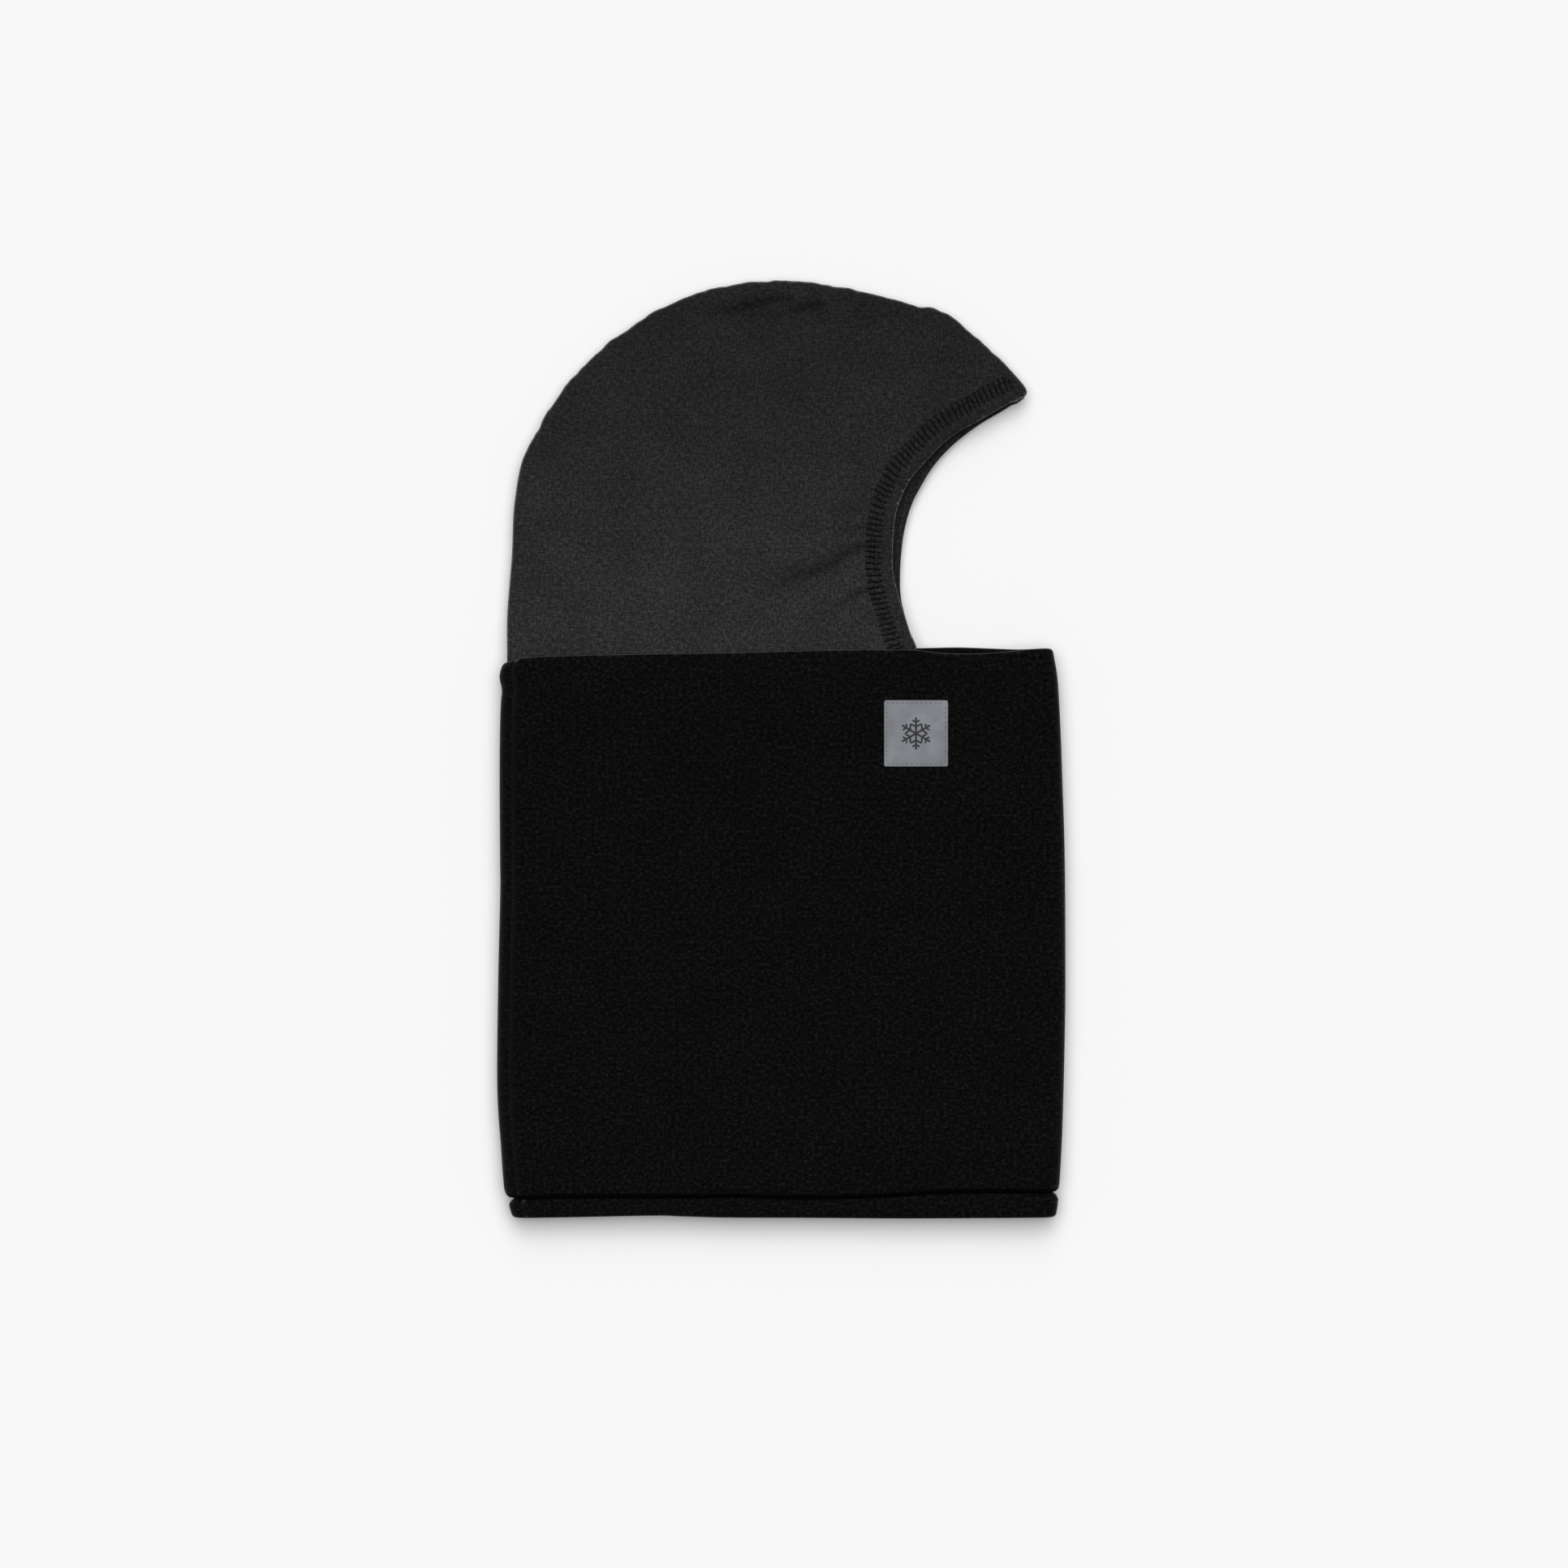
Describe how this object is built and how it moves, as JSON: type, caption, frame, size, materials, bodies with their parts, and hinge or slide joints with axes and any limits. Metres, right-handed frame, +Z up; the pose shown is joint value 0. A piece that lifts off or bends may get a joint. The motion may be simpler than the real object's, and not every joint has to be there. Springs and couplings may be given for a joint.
{
  "type": "balaclava",
  "caption": "Winter balaclava lying flat: a two-panel knit hood with a wide face opening, sewn into a deep fleece neck tube.",
  "frame": {"origin": "middle of the bounding box seen from above, on the surface that the balaclava lies on", "axes": "+X where the wearer faces, +Y from the neck to the crown, +Z up from the surface, so the wearer's right side faces up"},
  "size_m": [0.263, 0.4356, 0.0169],
  "materials": {
    "hood_knit": "heathered charcoal brushed jersey knit",
    "hem_knit": "the same knit, turned and pressed at the face hem",
    "fleece": "black brushed fleece, short pile",
    "thread_charcoal": "dark charcoal polyester sewing thread",
    "thread_black": "black polyester sewing thread",
    "thread_grey": "pale grey polyester sewing thread",
    "label_cloth": "silver-grey reflective woven patch",
    "label_print": "dark printed snowflake",
    "satin": "blank black satin ribbon"
  },
  "bodies": {
    "neck_tube": {"hood_right_neck_edge": "hood_knit", "hood_left_neck_edge": "hood_knit", "gaiter_tube": "fleece", "gaiter_top_facing": "fleece", "gaiter_bottom_band": "fleece", "gaiter_seam_allowance": "fleece", "gaiter_seam_overlock": "thread_black", "gaiter_blindstitch": "thread_black", "gaiter_tuck_stitch": "thread_black", "neck_joining_stitch": "thread_black", "label_patch": "label_cloth", "label_motif": "label_print", "label_stitching": "thread_grey", "care_label": "satin"},
    "hood": {"hood_right_panel": "hood_knit", "hood_left_panel": "hood_knit", "face_hem_right": "hem_knit", "face_hem_left": "hem_knit", "face_coverstitch_right": "thread_charcoal", "face_coverstitch_left": "thread_charcoal", "crown_seam_allowance": "hood_knit", "crown_seam_overlock": "thread_charcoal"}
  },
  "joints": [
    {"name": "hood_fold", "type": "hinge", "parent": "neck_tube", "child": "hood", "pos_m": [0, 0.0464, 0.0145], "axis": [1, 0, 0], "range_deg": [0, 179]}
  ]
}
